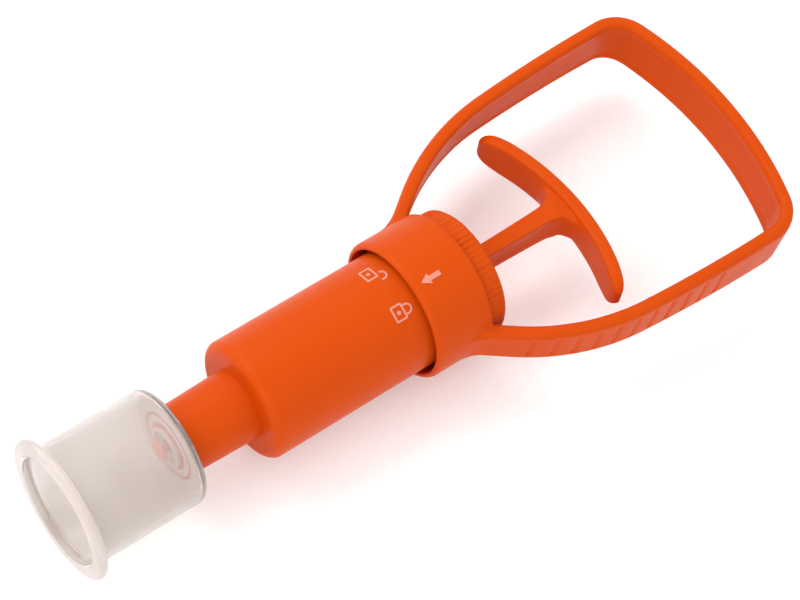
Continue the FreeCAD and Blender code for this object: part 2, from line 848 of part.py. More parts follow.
# ---------------------------------------------------------------- end cap and what it holds
def make_end_cap():
    front = size("cap_front")
    shoulder = size("collar_rear") + size("rest_clearance") - front
    rear = size("cap_rear") - front
    inside = rear - size("cap_wall")
    body = new_body("end_cap")
    revolve(body, "cap_turned", [
        (0, size("spring_pocket")),
        (0, size("cap_spigot")),
        (shoulder, size("cap_spigot")),
        (shoulder, size("cap_radius")),
        (rear, size("cap_radius")),
        (rear, size("guide_radius")),
        (inside, size("guide_radius")),
        (inside, size("spring_pocket")),
    ])
    edge = circle_edges(body, [(rear, size("cap_radius"))])
    dress(body, "Chamfer", "cap_rear_chamfer", edge, size("cap_chamfer"))
    sketch = sketch_on(body, "rib_groove_profile", "YZ_Plane")
    half = size("rib_groove_width") * 0.5
    bottom = size("cap_radius") - size("rib_groove_depth")
    top = size("cap_radius") + 1.0
    draw_lines(sketch, [(-half * 0.4, bottom), (half * 0.4, bottom), (half, top), (-half, top)])
    before = body.Shape.Volume
    groove = body.newObject("PartDesign::Pocket", "rib_groove")
    groove.Profile = sketch
    groove.Reversed = True
    groove.Length = (rear + 1.0).value
    groove.setExpression("Length", (rear + 1.0).text)
    doc.recompute()
    must_cut(body, before, "rib_groove")
    repeat_round(body, "rib_grooves", groove, CAP_RIBS)
    place(body, front)


def make_cap_inserts():
    """The stop ring in front of the cap, the rod guide in its end wall and the spring's seat."""
    ring("stop_ring", size("barrel_rear") + 0.35, size("cap_front") - size("barrel_rear") - 0.4,
         size("barrel_bore") + 0.2, size("thread_radius") - 0.05)
    pocket_floor = size("cap_rear") - size("cap_wall")
    flange = as_size(1.6)
    tail = size("cap_wall") + 0.4
    guide = new_body("rod_guide")
    revolve(guide, "guide_turned", [
        (0, 0),
        (0, size("guide_flange")),
        (flange, size("guide_flange")),
        (flange, size("guide_radius") - size("rest_clearance")),
        (flange + tail, size("guide_radius") - size("rest_clearance")),
        (flange + tail, 0),
    ])
    sketch = sketch_on(guide, "rod_slot", "YZ_Plane")
    half_width = size("rod_width") * 0.5 + size("slide_clearance")
    half_height = size("rod_height") * 0.5 + size("slide_clearance")
    draw_lines(sketch, [(-half_width, -half_height), (half_width, -half_height),
                        (half_width, half_height), (-half_width, half_height)])
    pocket(guide, "rod_slot_cut", sketch, flange + tail + 1.0, backwards=True)
    place(guide, pocket_floor - flange - size("rest_clearance"), DIMENSIONS["plunger_turn"])
    ring("spring_seat", pocket_floor - size("spring_seat_thickness") - size("rest_clearance"),
         size("spring_seat_thickness"), size("guide_flange") + 0.3, size("spring_pocket") - 0.15)


def make_return_spring():
    """A round-wire compression spring between the piston and the cap."""
    wire = size("spring_wire")
    start = size("piston_front") + size("piston_length") + wire + size("rest_clearance")
    end = (size("cap_rear") - size("cap_wall") - size("spring_seat_thickness")
           - wire - size("rest_clearance") * 2)
    height = end - start
    helix = doc.addObject("Part::Helix", "spring_line")
    helix.Radius = size("spring_radius").value
    helix.Height = height.value
    helix.Pitch = height.value / DIMENSIONS["spring_turns"]
    helix.SegmentLength = 1.0
    helix.setExpression("Radius", size("spring_radius").text)
    helix.setExpression("Height", height.text)
    helix.setExpression("Pitch", "%s / Sizes.spring_turns" % height.text)
    section = doc.addObject("Part::Circle", "spring_section")
    section.Radius = wire.value
    section.setExpression("Radius", wire.text)
    section.Placement = Placement(Vector(size("spring_radius").value, 0, 0),
                                  Rotation(Vector(1, 0, 0), 90))
    section.setExpression("Placement.Base.x", size("spring_radius").text)
    spring = doc.addObject("Part::Sweep", "return_spring")
    spring.Sections = [section]
    spring.Spine = helix
    spring.Solid = True
    spring.Frenet = True
    spring.Placement = Placement(Vector(start.value, 0, 0), Rotation(Vector(0, 1, 0), 90))
    spring.setExpression("Placement.Base.x", start.text)
    doc.recompute()
    return keep(spring, "return_spring")


# ---------------------------------------------------------------- plunger with its piston
def make_plunger():
    """The I-section rod, moulded in one with the bowed finger bar."""
    body = new_body("plunger")
    front = size("rod_front")
    half = size("rod_width") * 0.5
    taper_start = size("cap_rear") + 1.5
    neck = draw_plunger_outline(body, front, half, taper_start)
    round_finger_bar(body)
    round_bar_ends(body)
    lower_rod_faces(body, taper_start, as_size(neck - 2.0))

    foot = sketch_on(body, "rod_foot_outline", "XY_Plane")
    foot_half = size("rod_foot_width") * 0.5
    foot_end = front + size("rod_foot_length")
    draw_lines(foot, [(front, -foot_half), (foot_end, -foot_half),
                      (foot_end, foot_half), (front, foot_half)])
    pad(body, "rod_foot", foot, size("rod_height"), both_ways=True)

    recess = sketch_on(body, "side_recess_outline", "XY_Plane")
    web = size("rod_web") * 0.5
    wide = as_size(12.0)
    recess_start = foot_end + 1.0
    recess_end = size("tee_centre") - size("tee_width") * 0.5 - size("flare_radius")
    for side in (1, -1):
        draw_lines(recess, [(recess_start, web * side), (recess_end, web * side),
                            (recess_end, wide * side), (recess_start, wide * side)])
    pocket(body, "side_recesses", recess, size("rod_height") - size("rod_flange") * 2, both_ways=True)

    hole = sketch_on(body, "screw_hole_place", "YZ_Plane")
    draw_circle(hole, (0, 0), size("screw_radius") + 0.03)
    before = body.Shape.Volume
    cut = body.newObject("PartDesign::Pocket", "screw_hole")
    cut.Profile = hole
    cut.Reversed = True
    depth = front + 14.0
    cut.Length = depth.value
    cut.setExpression("Length", depth.text)
    doc.recompute()
    must_cut(body, before, "screw_hole")
    place(body, as_size(0), DIMENSIONS["plunger_turn"])


def draw_plunger_outline(body, front, half, taper_start):
    """One outline of the rod, its flares and the bowed bar. Returns where the flares start."""
    sketch = sketch_on(body, "plunger_outline", "XY_Plane")
    bow = DIMENSIONS["tee_radius"]
    thick = DIMENSIONS["tee_width"] / 2
    flare = DIMENSIONS["flare_radius"]
    pivot = Vector(DIMENSIONS["tee_centre"] - bow, 0, 0)
    span = math.degrees(math.asin((DIMENSIONS["tee_half_span"] - thick) / bow))
    flare_y = DIMENSIONS["rod_root_width"] / 2 + flare
    flare_x = pivot.x + math.sqrt((bow - thick - flare) ** 2 - flare_y ** 2)
    touch = math.degrees(math.atan2(flare_y, flare_x - pivot.x))
    tip = pivot + Vector(math.cos(math.radians(span)), math.sin(math.radians(span)), 0) * bow
    near = Vector(front.value, half.value, 0)
    taper = Vector(taper_start.value, half.value, 0)
    neck = Vector(flare_x, flare_y - flare, 0)

    def line(here, there):
        return (sketch.addGeometry(Part.LineSegment(here, there), False), 1, 2)

    def arc(centre, radius, start, end, backwards=False):
        edge = draw_arc(sketch, centre, radius, start, end)
        return (edge, 2, 1) if backwards else (edge, 1, 2)

    edges = [
        line(mirrored(near), mirrored(taper)),
        line(mirrored(taper), mirrored(neck)),
        arc(Vector(flare_x, -flare_y, 0), flare, -touch, 90.0, backwards=True),
        arc(pivot, bow - thick, -span, -touch, backwards=True),
        arc(mirrored(tip), thick, 180.0 - span, 360.0 - span),
        arc(pivot, bow + thick, -span, span),
        arc(tip, thick, span, span + 180.0),
        arc(pivot, bow - thick, touch, span, backwards=True),
        arc(Vector(flare_x, flare_y, 0), flare, -90.0, touch, backwards=True),
        line(neck, taper),
        line(taper, near),
        line(near, mirrored(near)),
    ]
    for here, there in zip(edges, edges[1:] + edges[:1]):
        sketch.addConstraint(Sketcher.Constraint("Coincident", here[0], here[2], there[0], there[1]))
    for edge, point in ((0, (front, -half)), (1, (taper_start, -half)),
                        (10, (taper_start, half)), (11, (front, half))):
        pin_point(sketch, edges[edge][0], 1, point)
    pad(body, "plunger_block", sketch, size("tee_height"), both_ways=True)
    return flare_x


def mirrored(point):
    return Vector(point.x, -point.y, 0)


def round_bar_ends(body):
    """Cuts the four corners of the finger bar's ends to a large round, seen along the pump."""
    sketch = sketch_on(body, "bar_end_corners", "YZ_Plane")
    side = DIMENSIONS["tee_half_span"]
    top = DIMENSIONS["tee_height"] / 2
    bend = DIMENSIONS["tee_end_round"]
    beyond = 3.0
    for quarter, (across, up) in enumerate([(1, 1), (-1, 1), (-1, -1), (1, -1)]):
        start = quarter * 90.0
        bow = draw_arc(sketch, Vector(across * (side - bend), up * (top - bend), 0), bend, start, start + 90.0)
        at_side = Vector(across * side, up * (top - bend), 0)
        at_top = Vector(across * (side - bend), up * top, 0)
        points = [at_side, at_side + Vector(across * beyond, 0, 0),
                  Vector(across * (side + beyond), up * (top + beyond), 0),
                  at_top + Vector(0, up * beyond, 0), at_top]
        lines = [sketch.addGeometry(Part.LineSegment(here, there), False)
                 for here, there in zip(points, points[1:])]
        for here, there in zip(lines, lines[1:]):
            sketch.addConstraint(Sketcher.Constraint("Coincident", here, 2, there, 1))
        first, last = (1, 2) if across * up > 0 else (2, 1)
        sketch.addConstraint(Sketcher.Constraint("Coincident", bow, first, lines[0], 1))
        sketch.addConstraint(Sketcher.Constraint("Coincident", lines[-1], 2, bow, last))
    pocket(body, "bar_end_rounds", sketch, size("tee_centre") + size("tee_radius"), backwards=True)


def lower_rod_faces(body, taper_start, neck):
    """Cuts the rod's top and bottom down to its own height, rising to the finger bar."""
    sketch = sketch_on(body, "rod_side_profile", "XZ_Plane")
    front = size("rod_front") - 2.0
    low = size("rod_height") * 0.5
    root = size("rod_root_height") * 0.5
    rim = size("tee_height") * 0.5
    top = rim + 2.0
    bar_face = size("tee_centre") - size("tee_width") * 0.5 - 1.6
    for side in (1, -1):
        draw_lines(sketch, [
            (front, low * side),
            (taper_start, low * side),
            (neck, root * side),
            (bar_face, rim * side),
            (bar_face, top * side),
            (front, top * side),
        ])
    reach = size("rod_root_width") + size("flare_radius") * 2 + 1.0
    pocket(body, "rod_faces_cut", sketch, reach, both_ways=True)


def round_finger_bar(body):
    """Rounds the top and bottom edges all round the outline."""
    top = DIMENSIONS["tee_height"] / 2
    names = []
    for number, edge in enumerate(body.Shape.Edges, start=1):
        heights = [vertex.Point.z for vertex in edge.Vertexes]
        if all(abs(abs(height) - top) < 1e-5 for height in heights) and heights[0] * heights[-1] > 0:
            names.append("Edge%d" % number)
    dress(body, "Fillet", "plunger_rounds", names, size("tee_round"))


def make_piston():
    front = size("piston_front")
    length = size("piston_length")
    groove = size("piston_groove_start")
    groove_end = groove + size("piston_groove_width")
    head_bore = size("screw_head_radius") + 0.4
    head_depth = size("screw_head_height") + 1.1
    body = new_body("piston_head")
    revolve(body, "piston_turned", [
        (0, head_bore),
        (0, size("piston_radius")),
        (groove, size("piston_radius")),
        (groove, size("piston_groove")),
        (groove_end, size("piston_groove")),
        (groove_end, size("piston_radius")),
        (length, size("piston_radius")),
        (length, size("screw_radius") + 0.05),
        (head_depth, size("screw_radius") + 0.05),
        (head_depth, head_bore),
    ])
    edge = circle_edges(body, [(0, size("piston_radius"))])
    dress(body, "Chamfer", "piston_lead", edge, 0.6)
    sketch = sketch_on(body, "vent_place", "YZ_Plane")
    draw_circle(sketch, (8.8, 0), as_size(1.1))
    vent = pocket(body, "vent", sketch, length + 1.0, backwards=True)
    repeat_round(body, "vents", vent, 6)
    place(body, front)

    seal_inner = size("piston_groove") + size("rest_clearance")
    seal = new_body("piston_seal")
    revolve(seal, "seal_turned", [
        (0.05, seal_inner),
        (0.05, size("barrel_bore") - 0.9),
        (0.7, size("barrel_bore") - 0.05),
        (1.5, size("barrel_bore") - 0.05),
        (1.8, size("barrel_bore") - 0.6),
        (2.1, size("barrel_bore") - 0.05),
        (2.9, size("barrel_bore") - 0.05),
        (size("piston_groove_width") - 0.05, size("barrel_bore") - 0.9),
        (size("piston_groove_width") - 0.05, seal_inner),
    ])
    place(seal, front + groove)

    rear = front + length
    ring("exhaust_flap", rear + size("rest_clearance"), as_size(0.8), size("screw_radius") + 0.05, as_size(11.6))
    head_front = front + 0.3
    ring("screw_washer", head_front + size("screw_head_height") + size("rest_clearance"), as_size(0.7),
         size("screw_radius") + 0.05, size("screw_head_radius") + 0.2)
    screw = new_body("piston_screw")
    revolve(screw, "screw_turned", [
        (0, 0),
        (0, size("screw_head_radius") - 0.7),
        (0.7, size("screw_head_radius")),
        (size("screw_head_height"), size("screw_head_radius")),
        (size("screw_head_height"), size("screw_radius")),
        (size("screw_head_height") + size("screw_length"), size("screw_radius")),
        (size("screw_head_height") + size("screw_length"), 0),
    ])
    drive = sketch_on(screw, "cross_drive", "YZ_Plane")
    arm = 2.2
    slot = 0.45
    draw_lines(drive, [(-arm, -slot), (-slot, -slot), (-slot, -arm), (slot, -arm), (slot, -slot),
                       (arm, -slot), (arm, slot), (slot, slot), (slot, arm), (-slot, arm),
                       (-slot, slot), (-arm, slot)])
    pocket(screw, "cross_drive_cut", drive, as_size(1.2), backwards=True)
    place(screw, head_front)


# ---------------------------------------------------------------- build, test and write
make_suction_cup()
make_cup_valve()
make_nozzle()
make_nozzle_soft_parts()
make_barrel()
make_lock_mark("mark_open", DIMENSIONS["open_mark_angle"], True)
make_lock_mark("mark_closed", DIMENSIONS["closed_mark_angle"], False)
make_grip_frame()
make_arrow_mark()
make_end_cap()
make_cap_inserts()
make_return_spring()
make_plunger()
make_piston()
doc.recompute()

for thing in doc.Objects:
    faults = [state for state in thing.State if state in ("Invalid", "Error")]
    if faults:
        raise RuntimeError("%s is %s" % (thing.Name, faults))
for thing in NODES:
    shape = thing.Shape
    if shape.isNull() or not shape.isValid() or not shape.Solids:
        raise RuntimeError("%s has no valid solid" % thing.Label)

os.makedirs("parts", exist_ok=True)
for thing in NODES:
    thing.Shape.exportStep("parts/%s.step" % thing.Label)
    box = thing.Shape.BoundBox
    print("%-14s solids %d  volume %9.1f  x %6.1f..%6.1f  y %6.1f..%6.1f  z %6.1f..%6.1f" % (
        thing.Label, len(thing.Shape.Solids), thing.Shape.Volume,
        box.XMin, box.XMax, box.YMin, box.YMax, box.ZMin, box.ZMax))
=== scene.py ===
"""Looks of the vacuum suction cup: a clear cup on an orange one-hand pump, lying on a pale table."""
import bpy
import bmesh
import math
from mathutils import Matrix, Vector


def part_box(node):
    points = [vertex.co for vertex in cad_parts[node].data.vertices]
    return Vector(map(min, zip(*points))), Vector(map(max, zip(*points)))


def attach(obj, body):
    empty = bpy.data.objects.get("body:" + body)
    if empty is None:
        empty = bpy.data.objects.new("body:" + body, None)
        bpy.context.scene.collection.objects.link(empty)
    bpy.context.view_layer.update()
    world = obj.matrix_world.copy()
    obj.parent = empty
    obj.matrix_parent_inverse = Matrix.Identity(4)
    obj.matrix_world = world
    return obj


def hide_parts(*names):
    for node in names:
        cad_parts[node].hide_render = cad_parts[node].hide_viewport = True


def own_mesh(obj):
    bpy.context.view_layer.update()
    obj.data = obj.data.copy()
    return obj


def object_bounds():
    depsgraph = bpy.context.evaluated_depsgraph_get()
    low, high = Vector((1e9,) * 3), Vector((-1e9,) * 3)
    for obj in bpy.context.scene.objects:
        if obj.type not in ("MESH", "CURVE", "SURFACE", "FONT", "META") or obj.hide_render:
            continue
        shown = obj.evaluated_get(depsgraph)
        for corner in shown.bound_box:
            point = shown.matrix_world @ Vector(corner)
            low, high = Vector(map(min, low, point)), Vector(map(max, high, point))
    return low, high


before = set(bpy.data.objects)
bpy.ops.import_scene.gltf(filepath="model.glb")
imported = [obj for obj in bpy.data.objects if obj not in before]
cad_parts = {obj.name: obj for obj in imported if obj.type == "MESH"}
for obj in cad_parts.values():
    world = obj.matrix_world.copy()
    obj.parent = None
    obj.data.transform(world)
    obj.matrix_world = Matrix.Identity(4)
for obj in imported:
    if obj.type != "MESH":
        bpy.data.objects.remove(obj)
CAD_BOX = [list(corner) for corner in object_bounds()]
MM = 0.001


# ---------------------------------------------------------------- camera
CAMERA_AZIMUTH = -53.98
CAMERA_ELEVATION = 60.51
CAMERA_ROLL = 19.41
CAMERA_PLACE = Vector((-0.20168, -0.25143, 0.76354))
LENS = 110.04
SENSOR = 36.0


def make_camera():
    azimuth, elevation, roll = (math.radians(angle) for angle in
                                (CAMERA_AZIMUTH, CAMERA_ELEVATION, CAMERA_ROLL))
    back = Vector((math.sin(azimuth) * math.cos(elevation),
                   -math.cos(azimuth) * math.cos(elevation), math.sin(elevation)))
    level = Vector((math.cos(azimuth), math.sin(azimuth), 0))
    rise = back.cross(level)
    right = level * math.cos(roll) + rise * math.sin(roll)
    up = rise * math.cos(roll) - level * math.sin(roll)
    data = bpy.data.cameras.new("camera")
    data.lens = LENS
    data.sensor_width = SENSOR
    data.clip_start = 0.05
    data.clip_end = 20
    camera = bpy.data.objects.new("camera", data)
    camera.matrix_world = Matrix.Translation(CAMERA_PLACE) @ Matrix((right, up, back)).transposed().to_4x4()
    bpy.context.collection.objects.link(camera)
    bpy.context.scene.camera = camera


make_camera()
bpy.context.scene.view_settings.view_transform = "Standard"


# ---------------------------------------------------------------- shader building steps
def srgb(red, green, blue):
    """A colour given as 0 to 255 screen values, as the linear values a shader takes."""
    channels = []
    for value in (red, green, blue):
        value /= 255
        channels.append(value / 12.92 if value <= 0.04045 else ((value + 0.055) / 1.055) ** 2.4)
    return (*channels, 1.0)


def fill(tree, node, inputs):
    """Sets or links a node's inputs. Underscores in a name stand for spaces."""
    for name, value in inputs.items():
        socket = node.inputs[name.replace("_", " ")]
        if isinstance(value, bpy.types.NodeSocket):
            tree.links.new(value, socket)
        else:
            socket.default_value = value
    return node


def wire(tree, kind, **inputs):
    return fill(tree, tree.nodes.new("ShaderNode" + kind), inputs)


class Shader:
    """A new material and short steps for wiring its nodes."""

    def __init__(self, name):
        self.material = bpy.data.materials.new(name)
        self.material.use_nodes = True
        self.tree = self.material.node_tree
        self.nodes = self.tree.nodes
        self.base = self.nodes["Principled BSDF"]
        self.place = self.nodes.new("ShaderNodeTexCoord").outputs["Object"]

    def link(self, source, target):
        self.tree.links.new(source, target)

    def set(self, **values):
        fill(self.tree, self.base, values)

    def node(self, kind, **inputs):
        return wire(self.tree, kind, **inputs)

    def group(self, tree, **inputs):
        made = self.nodes.new("ShaderNodeGroup")
        made.node_tree = tree
        return fill(self.tree, made, inputs)


def new_group(name, inputs, outputs):
    tree = bpy.data.node_groups.new(name, "ShaderNodeTree")
    for label, kind, default in inputs:
        socket = tree.interface.new_socket(label, in_out="INPUT", socket_type="NodeSocket" + kind)
        if default is not None:
            socket.default_value = default
    for label, kind in outputs:
        tree.interface.new_socket(label, in_out="OUTPUT", socket_type="NodeSocket" + kind)
    enter = tree.nodes.new("NodeGroupInput")
    leave = tree.nodes.new("NodeGroupOutput")
    return tree, enter, leave


def make_moulded_group():
    """Injection-moulded plastic: faint flow shade, uneven gloss, soft sink ripples and fine grain."""
    tree, enter, leave = new_group("moulded_plastic", [
        ("Place", "Vector", None), ("Colour", "Color", (0.8, 0.2, 0.02, 1)),
        ("Deep colour", "Color", (0.6, 0.1, 0.01, 1)), ("Flow", "Float", 0.35),
        ("Gloss low", "Float", 0.16), ("Gloss high", "Float", 0.26), ("Ripple", "Float", 0.04),
    ], [("Colour", "Color"), ("Roughness", "Float"), ("Normal", "Vector")])
    place = enter.outputs["Place"]
    stretch = wire(tree, "Mapping", Vector=place, Scale=(9.0, 34.0, 34.0))
    flow = wire(tree, "TexNoise", Vector=stretch.outputs[0], Scale=1.0, Detail=3.0, Roughness=0.55)
    speck = wire(tree, "TexNoise", Vector=place, Scale=1500.0, Detail=2.0)
    flow_mask = wire(tree, "MapRange", Value=flow.outputs["Fac"])
    flow_mask.inputs["From Min"].default_value = 0.35
    flow_mask.inputs["From Max"].default_value = 0.7
    amount = wire(tree, "Math", Value=flow_mask.outputs[0])
    amount.operation = "MULTIPLY"
    tree.links.new(enter.outputs["Flow"], amount.inputs[1])
    mix = tree.nodes.new("ShaderNodeMix")
    mix.data_type = "RGBA"
    tree.links.new(amount.outputs[0], mix.inputs["Factor"])
    tree.links.new(enter.outputs["Colour"], mix.inputs[6])
    tree.links.new(enter.outputs["Deep colour"], mix.inputs[7])
    tree.links.new(mix.outputs[2], leave.inputs["Colour"])
    smear = wire(tree, "TexNoise", Vector=place, Scale=95.0, Detail=6.0, Roughness=0.62)
    gloss = wire(tree, "MapRange", Value=smear.outputs["Fac"])
    gloss.inputs["From Min"].default_value = 0.38
    gloss.inputs["From Max"].default_value = 0.72
    tree.links.new(enter.outputs["Gloss low"], gloss.inputs["To Min"])
    tree.links.new(enter.outputs["Gloss high"], gloss.inputs["To Max"])
    tree.links.new(gloss.outputs[0], leave.inputs["Roughness"])
    sink = wire(tree, "TexNoise", Vector=place, Scale=60.0, Detail=1.0)
    grain = wire(tree, "Math", Value=speck.outputs["Fac"])
    grain.operation = "MULTIPLY_ADD"
    grain.inputs[1].default_value = 0.04
    tree.links.new(sink.outputs["Fac"], grain.inputs[2])
    bump = wire(tree, "Bump", Height=grain.outputs[0], Distance=0.0004)
    tree.links.new(enter.outputs["Ripple"], bump.inputs["Strength"])
    tree.links.new(bump.outputs[0], leave.inputs["Normal"])
    return tree


MOULDED = make_moulded_group()


def moulded(name, colour, deep, flow=0.35, gloss=(0.16, 0.26), ripple=0.04, **settings):
    shader = Shader(name)
    skin = shader.group(MOULDED, Place=shader.place, Colour=colour, Deep_colour=deep, Flow=flow,
                        Gloss_low=gloss[0], Gloss_high=gloss[1], Ripple=ripple)
    shader.link(skin.outputs["Colour"], shader.base.inputs["Base Color"])
    shader.link(skin.outputs["Roughness"], shader.base.inputs["Roughness"])
    shader.link(skin.outputs["Normal"], shader.base.inputs["Normal"])
    shader.set(**settings)
    return shader


ORANGE = moulded("orange_plastic", srgb(192, 69, 5), srgb(186, 60, 3), gloss=(0.34, 0.42),
                 Specular_IOR_Level=0.06).material
PALE = moulded("pale_plastic", srgb(226, 222, 212), srgb(206, 200, 188), gloss=(0.28, 0.42), IOR=1.5).material
PINK_RUBBER = moulded("pink_rubber", srgb(232, 122, 112), srgb(222, 96, 88), gloss=(0.35, 0.5)).material
SILICONE = moulded("pale_silicone", srgb(222, 190, 182), srgb(208, 168, 160), gloss=(0.35, 0.5)).material
DARK_RUBBER = moulded("dark_rubber", srgb(34, 34, 36), srgb(22, 22, 24), gloss=(0.42, 0.6)).material
PRINT = moulded("pale_print", srgb(206, 132, 114), srgb(210, 119, 97), flow=0.8, gloss=(0.4, 0.55),
                Specular_IOR_Level=0.2).material
STEEL = moulded("spring_steel", srgb(188, 190, 194), srgb(150, 152, 158), gloss=(0.16, 0.34),
                Metallic=1.0).material


def make_clear():
    """Milky moulded plastic with a faint pink tint, soft flow clouds and uneven gloss."""
    shader = Shader("milky_plastic")
    cloud = shader.node("TexNoise", Vector=shader.place, Scale=45.0, Detail=3.0)
    ramp = shader.node("ValToRGB", Fac=cloud.outputs["Fac"])
    ramp.color_ramp.elements[0].position = 0.35
    ramp.color_ramp.elements[1].position = 0.7
    ramp.color_ramp.elements[0].color = srgb(226, 220, 216)
    ramp.color_ramp.elements[1].color = srgb(220, 213, 208)
    shader.link(ramp.outputs["Color"], shader.base.inputs["Base Color"])
    haze = shader.node("TexNoise", Vector=shader.place, Scale=120.0, Detail=5.0)
    spread = shader.node("MapRange", Value=haze.outputs["Fac"])
    spread.inputs["From Min"].default_value = 0.4
    spread.inputs["From Max"].default_value = 0.75
    spread.inputs["To Min"].default_value = 0.12
    spread.inputs["To Max"].default_value = 0.18
    shader.link(spread.outputs[0], shader.base.inputs["Roughness"])
    ripple = shader.node("TexNoise", Vector=shader.place, Scale=70.0, Detail=1.0)
    bump = shader.node("Bump", Height=ripple.outputs["Fac"], Strength=0.05, Distance=0.0004)
    shader.link(bump.outputs[0], shader.base.inputs["Normal"])
    shader.set(Transmission_Weight=0.78, IOR=1.28)
    # light reaches the parts behind the cup without a hard shadow
    ray = shader.nodes.new("ShaderNodeLightPath")
    through = shader.node("BsdfTransparent")
    through.inputs["Color"].default_value = (0.8, 0.78, 0.77, 1)
    mix = shader.nodes.new("ShaderNodeMixShader")
    shader.link(ray.outputs["Is Shadow Ray"], mix.inputs[0])
    shader.link(shader.base.outputs[0], mix.inputs[1])
    shader.link(through.outputs[0], mix.inputs[2])
    shader.link(mix.outputs[0], shader.nodes["Material Output"].inputs["Surface"])
    return shader.material


CLEAR = make_clear()
RING_SPAN = 22.0
# radii of the painted show-through rings in millimetres, where the orange parts behind the end wall would
# show through
PAINTED_SHOW_THROUGH_RINGS = ((8.0, 9.2), (12.4, 13.3))


def make_milk_with_painted_show_through(name, milk, through):
    """Milkier stretches of the cup. Near the axis it carries pink rings and a pink spot in the middle. These
    are painted show-through, standing in for the orange nozzle and pink valve parts seen through the wall,
    not the wall's own colour.
    """
    shader = Shader(name)
    apart = shader.node("SeparateXYZ", Vector=shader.place)
    flat = shader.node("CombineXYZ", X=0.0, Y=apart.outputs["Y"], Z=apart.outputs["Z"])
    radius = shader.nodes.new("ShaderNodeVectorMath")
    radius.operation = "LENGTH"
    shader.link(flat.outputs[0], radius.inputs[0])
    share = shader.node("MapRange", Value=radius.outputs["Value"])
    share.inputs["From Max"].default_value = RING_SPAN * MM
    ramp = shader.node("ValToRGB", Fac=share.outputs[0])
    # the pink is painted show-through: it stands in for the orange and pink parts behind the end wall, not a
    # colour of the wall
    pink = srgb(206, 58, 58)
    bands = ramp.color_ramp.elements
    bands[0].color = pink
    bands[1].color = milk
    for inner, outer in PAINTED_SHOW_THROUGH_RINGS:
        for distance, colour in ((inner - 0.3, milk), (inner, pink), (outer, pink), (outer + 0.3, milk)):
            bands.new(distance / RING_SPAN).color = colour
    bands.new(1.6 / RING_SPAN).color = pink
    bands.new(2.2 / RING_SPAN).color = milk
    shader.link(ramp.outputs["Color"], shader.base.inputs["Base Color"])
    haze = shader.node("TexNoise", Vector=shader.place, Scale=200.0, Detail=4.0)
    spread = shader.node("MapRange", Value=haze.outputs["Fac"])
    spread.inputs["To Min"].default_value = 0.25
    spread.inputs["To Max"].default_value = 0.4
    shader.link(spread.outputs[0], shader.base.inputs["Roughness"])
    shader.set(Transmission_Weight=through, IOR=1.3)
    return shader.material


# the end wall is kept nearly opaque and carries the painted show-through of the parts behind it
END_WALL_MILK_PAINTED_SHOW_THROUGH = make_milk_with_painted_show_through("end_wall_painted_show_through", srgb(226, 208, 201), 0.08)
LIP_MILK = make_milk_with_painted_show_through("lip_milk", srgb(219, 207, 201), 0.45)

MATERIALS = {
    "suction_cup": CLEAR, "valve_pin": PINK_RUBBER, "valve_disc": SILICONE, "valve_collar": PALE,
    "nozzle": ORANGE, "nozzle_seal": SILICONE, "nozzle_gasket": SILICONE, "inlet_valve": SILICONE,
    "barrel": ORANGE, "mark_open": PRINT, "mark_closed": PRINT, "arrow_mark": PRINT,
    "grip_frame": ORANGE, "end_cap": ORANGE, "stop_ring": DARK_RUBBER, "rod_guide": PALE,
    "spring_seat": STEEL, "return_spring": STEEL, "plunger": ORANGE, "piston_head": PALE,
    "piston_seal": DARK_RUBBER, "exhaust_flap": DARK_RUBBER, "screw_washer": STEEL, "piston_screw": STEEL,
}


def dress_nodes():
    for name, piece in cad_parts.items():
        material = MATERIALS[name]
        if not piece.material_slots:
            piece.data.materials.append(material)
        for slot in piece.material_slots:
            slot.material = material


dress_nodes()


# ---------------------------------------------------------------- mesh building steps
def turned(outline, steps):
    """A closed ring turned about the pump's axis from (distance along, radius) points in millimetres."""
    built = bmesh.new()
    corners = [built.verts.new((along * MM, radius * MM, 0)) for along, radius in outline]
    for here, there in zip(corners, corners[1:] + corners[:1]):
        built.edges.new((here, there))
    bmesh.ops.spin(built, geom=built.verts[:] + built.edges[:], cent=(0, 0, 0), axis=(1, 0, 0),
                   angle=math.tau, steps=steps, use_merge=True)
    bmesh.ops.recalc_face_normals(built, faces=built.faces)
    return built


def round_ring(built, along, radius, amount, segments=6):
    """Rounds the full-circle edge at that distance along and radius, in millimetres."""
    edges = [edge for edge in built.edges if all(
        abs(vert.co.x - along * MM) < 1e-6 and abs(vert.co.yz.length - radius * MM) < 1e-6
        for vert in edge.verts)]
    bmesh.ops.bevel(built, geom=edges, offset=amount * MM, offset_type="OFFSET", segments=segments,
                    profile=0.5, affect="EDGES", material=-1)


def finish_piece(built, name, materials, body, sharp=40):
    """Writes the mesh out as a smooth-shaded piece that moves with its body."""
    mesh = bpy.data.meshes.new(name)
    for face in built.faces:
        face.smooth = True
    built.to_mesh(mesh)
    built.free()
    mesh.set_sharp_from_angle(angle=math.radians(sharp))
    for material in materials:
        mesh.materials.append(material)
    piece = bpy.data.objects.new(name, mesh)
    bpy.context.collection.objects.link(piece)
    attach(piece, body)
    return piece


# ---------------------------------------------------------------- clear cup
CUP_LENGTH = 47.2
CUP_RADIUS = 22.3
CUP_WALL = 1.7
CUP_END_WALL = 2.0
CUP_SHOULDER = 3.4
LIP_THICKNESS = 3.4
LIP_BLEND = 2.6
NECK_RADIUS = 9.0
NECK_BORE = 6.0
VENT_RADIUS = 3.2
BOSS_RADIUS = 7.8
BOSS_BORE = 6.2
BOSS_HEIGHT = 1.6


